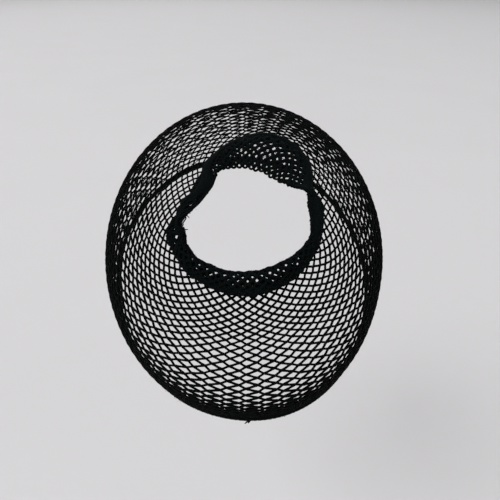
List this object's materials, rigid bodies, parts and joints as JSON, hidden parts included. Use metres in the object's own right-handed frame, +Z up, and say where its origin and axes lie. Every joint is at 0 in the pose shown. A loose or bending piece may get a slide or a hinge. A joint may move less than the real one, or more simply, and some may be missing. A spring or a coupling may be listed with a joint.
{
  "type": "open-ended net wig cap",
  "caption": "Stretch net cap open at both ends, with a turned lacy crown cuff over the back of the crown and a knitted elastic hem band.",
  "frame": {"origin": "middle of the head that the cap is stretched over, level with the widest part of the cap", "axes": "+Z up, front of the head towards -Y, back of the head and the crown opening towards +Y, wearer's left towards +X"},
  "size_m": [0.1569, 0.1807, 0.1482],
  "materials": {
    "net_yarn": "fine twisted nylon yarn, near black, matt with a slight fibre sheen",
    "cuff_yarn": "slack lacy knit of the same yarn, near black, matt",
    "hem_yarn": "dense knitted elastic, near black, matt and slightly fuzzy"
  },
  "bodies": {
    "root": {"net_body": "net_yarn", "crown_cuff": "cuff_yarn", "hem_band": "hem_yarn"}
  },
  "joints": []
}
